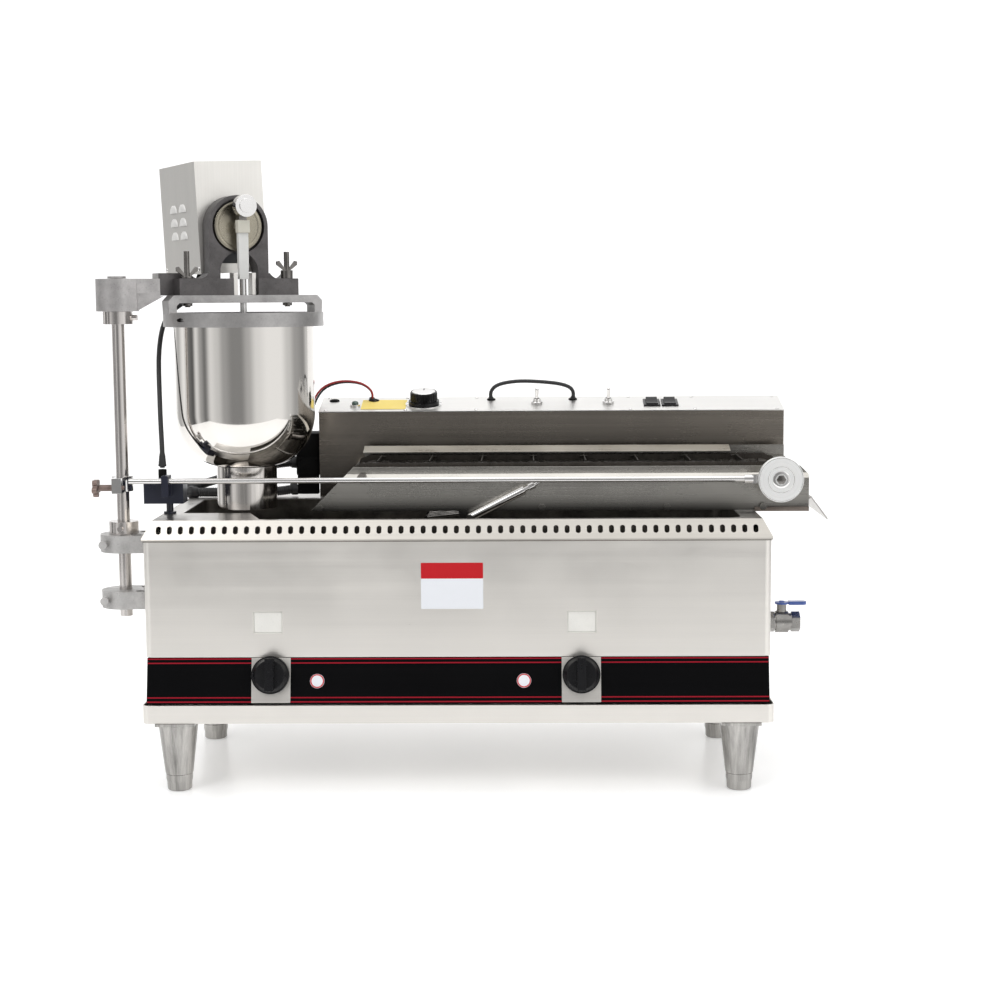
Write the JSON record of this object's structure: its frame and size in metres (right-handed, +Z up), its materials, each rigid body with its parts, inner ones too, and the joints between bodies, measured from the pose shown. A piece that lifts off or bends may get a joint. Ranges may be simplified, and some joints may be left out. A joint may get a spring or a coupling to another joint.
{
  "type": "donut fryer",
  "caption": "Countertop gas doughnut fryer: steel cabinet on legs with an oil tank, a chain conveyor, a crank-driven dough hopper on a post and a control box.",
  "frame": {"origin": "middle of the whole object on the floor", "axes": "+X along the tank from the dough head to the chute, -Y towards the operator, +Z up"},
  "size_m": [1.052, 0.4846, 0.8972],
  "materials": {
    "stainless_bright": "brushed",
    "stainless_dark": "brushed",
    "chrome": "polished",
    "cast_aluminium": "cast",
    "cast_dark": "cast",
    "strip_black": "gloss",
    "knob_black": "moulded",
    "plastic_white": "moulded",
    "pane": "pale",
    "brass": "turned",
    "rubber_black": "matt",
    "lever_blue": "dipped",
    "chain_steel": "oiled",
    "screw_brown": "weathered",
    "switch_grey": "moulded",
    "burner_iron": "cast",
    "machined": "turned"
  },
  "bodies": {
    "machine": {"base_tray": "stainless_bright", "control_strip": "strip_black", "front_panel": "stainless_bright", "side_panel_left": "stainless_bright", "side_panel_right": "stainless_bright", "rear_panel": "stainless_bright", "rim": "stainless_bright", "deck_plate": "stainless_bright", "oil_tank": "stainless_dark", "drain_pipe": "stainless_dark", "drain_valve": "chrome", "burners": "burner_iron", "gas_train": "brass", "knob_bezels": "stainless_bright", "window_panes": "pane", "legs": "cast_aluminium", "feet": "chrome", "post_clamps": "cast_aluminium", "post": "chrome", "rod_guide": "chrome", "control_box": "stainless_dark", "control_panel": "stainless_bright", "panel_fittings": "plastic_white", "cable_glands": "rubber_black", "cables": "rubber_black", "motor_cable": "rubber_black", "trigger_switch": "switch_grey", "plate_near": "stainless_dark", "plate_far": "stainless_dark", "plate_ties": "stainless_dark", "chains": "chain_steel", "flights": "stainless_dark", "chute": "stainless_bright", "conveyor_motor": "cast_dark"},
    "head": {"arm": "cast_aluminium", "arch": "cast_dark", "motor_cover": "stainless_bright", "gear_motor": "cast_dark", "guide_plates": "stainless_bright", "hopper_ring": "cast_aluminium", "hopper_bowl": "chrome", "outlet_cylinder": "chrome", "wing_nuts": "cast_dark"},
    "crank": {"crank_disc": "stainless_dark"},
    "plunger_set": {"connecting_rod": "plastic_white", "plunger": "stainless_bright"},
    "knob_left_body": {"knob_left": "knob_black"},
    "knob_right_body": {"knob_right": "knob_black"},
    "drain_lever_body": {"drain_lever": "lever_blue"},
    "stop_screw_body": {"stop_screw": "screw_brown"},
    "rod_body": {"timing_rod": "chrome"},
    "drive_body": {"drive_shaft": "chain_steel", "drive_wheel": "machined"},
    "idler_body": {"idler_shaft": "chain_steel"},
    "flipper_body": {"flipper": "chrome"},
    "dial_body": {"speed_dial": "knob_black"},
    "toggle_left_body": {"toggle_left": "chrome"},
    "toggle_right_body": {"toggle_right": "chrome"},
    "rocker_left_body": {"rocker_left": "knob_black"},
    "rocker_right_body": {"rocker_right": "knob_black"}
  },
  "joints": [
    {"name": "head_swing", "type": "hinge", "parent": "machine", "child": "head", "pos_m": [-0.492, -0.11273, 0.7], "axis": [0, 0, 1], "range_deg": [-12, 35], "deforming": ["motor_cable"]},
    {"name": "crank_turn", "type": "hinge", "parent": "head", "child": "crank", "pos_m": [-0.32, -0.05772, 0.799], "axis": [0.4695, -0.8829, 0], "range_deg": [0, 180]},
    {"name": "plunger_stroke", "type": "slide", "parent": "head", "child": "plunger_set", "axis": [0, 0, -1], "range_m": [0, 0.0561]},
    {"name": "knob_left_turn", "type": "hinge", "parent": "machine", "child": "knob_left_body", "pos_m": [-0.268, -0.21305, 0.16768], "axis": [0, -0.9769, 0.2137], "range_deg": [0, 180]},
    {"name": "knob_right_turn", "type": "hinge", "parent": "machine", "child": "knob_right_body", "pos_m": [0.168, -0.21305, 0.16768], "axis": [0, -0.9769, 0.2137], "range_deg": [0, 180]},
    {"name": "drain_lever_turn", "type": "hinge", "parent": "machine", "child": "drain_lever_body", "pos_m": [0.465, -0.08772, 0.24], "axis": [0, 0, 1], "range_deg": [-90, 0]},
    {"name": "stop_screw_turn", "type": "hinge", "parent": "machine", "child": "stop_screw_body", "pos_m": [-0.492, -0.14772, 0.4265], "axis": [1, 0, 0], "continuous": true},
    {"name": "timing_rod_slide", "type": "slide", "parent": "machine", "child": "rod_body", "axis": [1, 0, 0], "range_m": [-0.007, 0]},
    {"name": "drive_turn", "type": "hinge", "parent": "machine", "child": "drive_body", "pos_m": [0.452, -0.03272, 0.4355], "axis": [0, 1, 0], "continuous": true, "deforming": ["chains"]},
    {"name": "idler_turn", "type": "hinge", "parent": "machine", "child": "idler_body", "pos_m": [-0.1449, -0.03272, 0.4355], "axis": [0, 1, 0], "continuous": true},
    {"name": "flipper_turn", "type": "hinge", "parent": "machine", "child": "flipper_body", "pos_m": [0.011, -0.03272, 0.38], "axis": [0, -1, 0], "range_deg": [0, 40]},
    {"name": "dial_turn", "type": "hinge", "parent": "machine", "child": "dial_body", "pos_m": [-0.0685, 0.13028, 0.526], "axis": [0, -0.2183, 0.9759], "range_deg": [-270, 0]},
    {"name": "toggle_left_flip", "type": "hinge", "parent": "machine", "child": "toggle_left_body", "pos_m": [0.109, 0.12896, 0.53185], "axis": [1, 0, 0], "range_deg": [-24, 0]},
    {"name": "toggle_right_flip", "type": "hinge", "parent": "machine", "child": "toggle_right_body", "pos_m": [0.221, 0.12896, 0.53185], "axis": [1, 0, 0], "range_deg": [-24, 0]},
    {"name": "rocker_left_press", "type": "hinge", "parent": "machine", "child": "rocker_left_body", "pos_m": [0.289, 0.13049, 0.52502], "axis": [1, 0, 0], "range_deg": [-18, 0]},
    {"name": "rocker_right_press", "type": "hinge", "parent": "machine", "child": "rocker_right_body", "pos_m": [0.317, 0.13049, 0.52502], "axis": [1, 0, 0], "range_deg": [-18, 0]}
  ],
  "couplings": [
    {"joint": "plunger_stroke", "follows": "crank_turn", "m_per_rad": 0.017825},
    {"joint": "idler_turn", "follows": "drive_turn", "ratio": 1}
  ]
}
